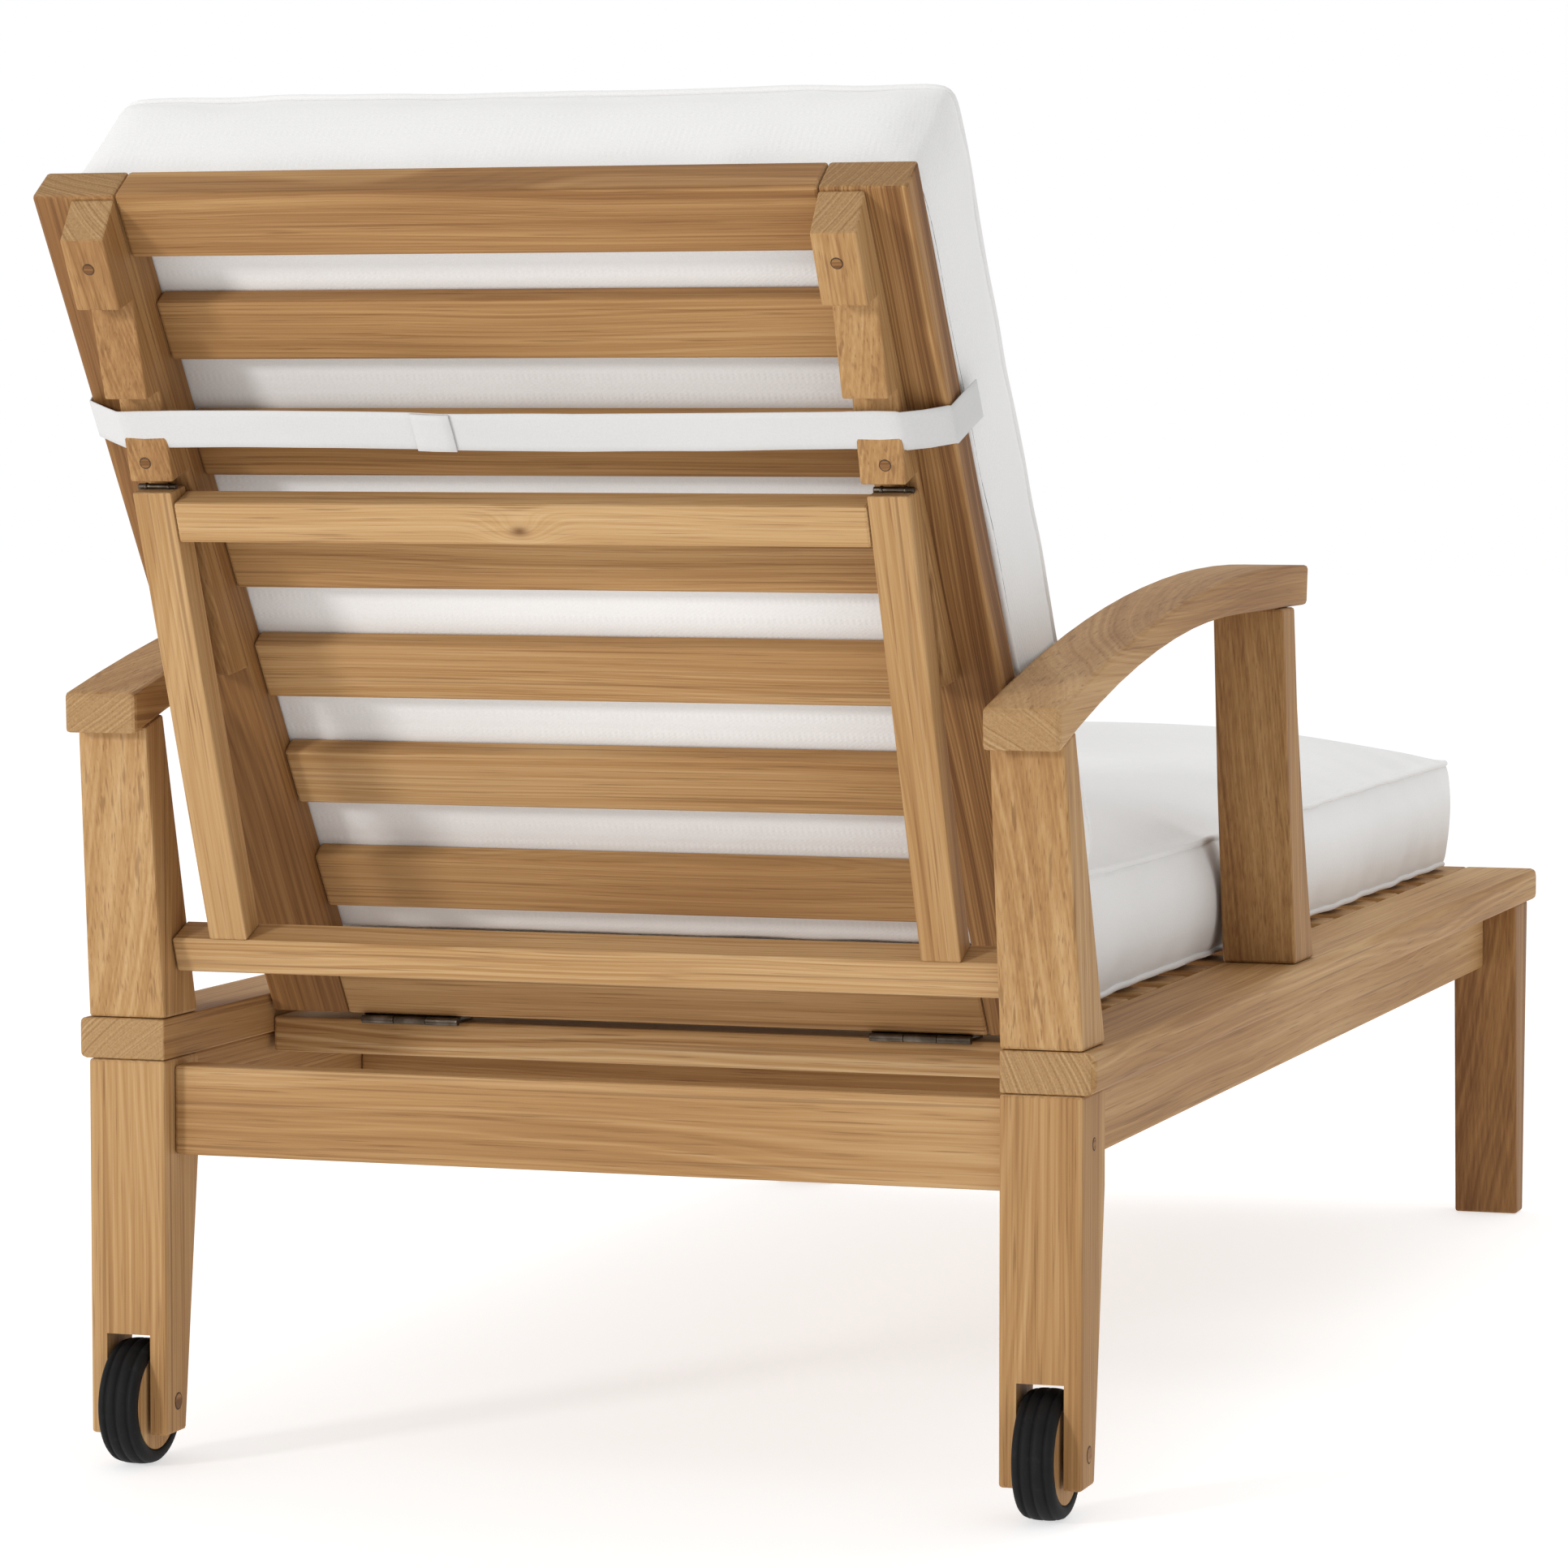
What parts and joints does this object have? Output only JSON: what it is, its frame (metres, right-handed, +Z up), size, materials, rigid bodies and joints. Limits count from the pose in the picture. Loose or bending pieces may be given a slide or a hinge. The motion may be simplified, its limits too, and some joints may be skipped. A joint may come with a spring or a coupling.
{
  "type": "reclining sun lounger",
  "caption": "Teak sun lounger with arched arms, slatted seat and hinged reclining backrest held by a swinging prop, rear wheels and thick white cushions.",
  "frame": {"origin": "centre of the footprint of the whole lounger, on the ground", "axes": "+Z up; +Y from the foot end towards the backrest and the wheels; +X across, to the left of someone sitting in it"},
  "size_m": [0.716, 1.7598, 0.9231],
  "materials": {
    "teak": "oiled, satin",
    "fabric": "matte woven",
    "rubber": "matte",
    "steel": "dulled"
  },
  "bodies": {
    "seat_frame": {"side_rail_left": "teak", "side_rail_right": "teak", "side_apron_left": "teak", "side_apron_right": "teak", "rear_leg_left": "teak", "rear_leg_right": "teak", "front_leg_left": "teak", "front_leg_right": "teak", "rear_arm_post_left": "teak", "rear_arm_post_right": "teak", "front_arm_post_left": "teak", "front_arm_post_right": "teak", "armrest_left": "teak", "armrest_right": "teak", "rear_apron": "teak", "foot_rail": "teak", "hinge_rail": "teak", "mid_brace": "teak", "seat_slat_01": "teak", "seat_slat_02": "teak", "seat_slat_03": "teak", "seat_slat_04": "teak", "seat_slat_05": "teak", "seat_slat_06": "teak", "seat_slat_07": "teak", "seat_slat_08": "teak", "seat_slat_09": "teak", "seat_slat_10": "teak", "seat_slat_11": "teak", "seat_slat_12": "teak", "seat_slat_13": "teak", "seat_slat_14": "teak", "hinge_fixed_leaf_left": "steel", "axle_left": "steel", "hinge_fixed_leaf_right": "steel", "axle_right": "steel", "seat_cushion": "fabric"},
    "wheel_left": {"tyre_left": "rubber", "wheel_hub_left": "teak"},
    "wheel_right": {"tyre_right": "rubber", "wheel_hub_right": "teak"},
    "backrest": {"back_stile_left": "teak", "back_stile_right": "teak", "back_top_rail": "teak", "back_bottom_rail": "teak", "back_slat_1": "teak", "back_slat_2": "teak", "back_slat_3": "teak", "back_slat_4": "teak", "back_slat_5": "teak", "back_slat_6": "teak", "rack_left": "teak", "rack_right": "teak", "hinge_moving_leaf_left": "steel", "hinge_moving_leaf_right": "steel", "back_cushion": "fabric"},
    "prop": {"prop_strut_left": "teak", "prop_strut_right": "teak", "prop_crossbar": "teak", "prop_foot_bar": "teak"}
  },
  "joints": [
    {"name": "backrest_recline", "type": "hinge", "parent": "seat_frame", "child": "backrest", "pos_m": [0, 0.48367, 0.2925], "axis": [-1, 0, 0], "range_deg": [0, 27]},
    {"name": "prop_swing", "type": "hinge", "parent": "seat_frame", "child": "prop", "pos_m": [0, 0.63507, 0.3555], "axis": [-1, 0, 0], "range_deg": [0, 67.5]},
    {"name": "wheel_left_spin", "type": "hinge", "parent": "seat_frame", "child": "wheel_left", "pos_m": [0.322, 0.64507, 0.043], "axis": [1, 0, 0], "continuous": true},
    {"name": "wheel_right_spin", "type": "hinge", "parent": "seat_frame", "child": "wheel_right", "pos_m": [-0.322, 0.64507, 0.043], "axis": [1, 0, 0], "continuous": true}
  ],
  "couplings": [
    {"joint": "prop_swing", "follows": "backrest_recline", "ratio": 2.5}
  ]
}
